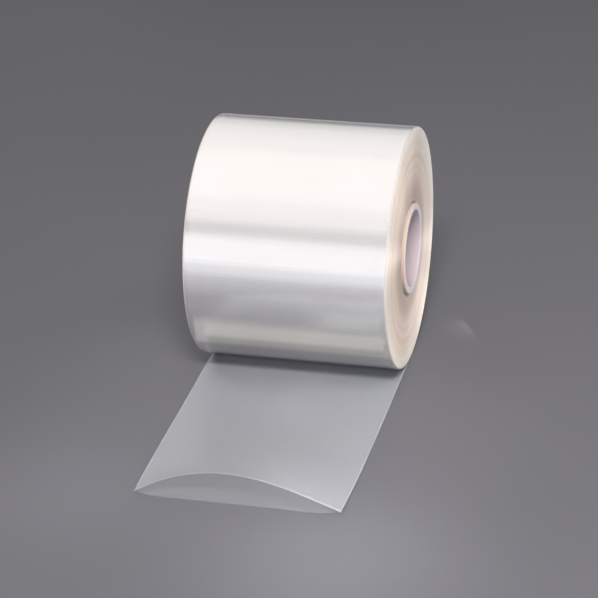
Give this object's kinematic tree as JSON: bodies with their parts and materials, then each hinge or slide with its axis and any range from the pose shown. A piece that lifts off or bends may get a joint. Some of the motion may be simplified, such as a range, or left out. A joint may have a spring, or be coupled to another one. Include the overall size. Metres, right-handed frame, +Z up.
{
  "type": "roll of lay-flat tubing",
  "caption": "Roll of clear lay-flat film tubing wound on a plastic core, lying on its side with the free end drawn out flat and its cut mouth standing open.",
  "frame": {"origin": "on the floor, under the middle of the roll, at the centre of its flat spot", "axes": "+X along the core, -Y the way the film draws off the roll, +Z up"},
  "size_m": [0.206, 0.433, 0.2413],
  "materials": {
    "film": "clear glossy film, milky white where it is wound",
    "core_plastic": "satin off-white plastic"
  },
  "bodies": {
    "root": {"tubing": "film", "core": "core_plastic"}
  },
  "joints": []
}
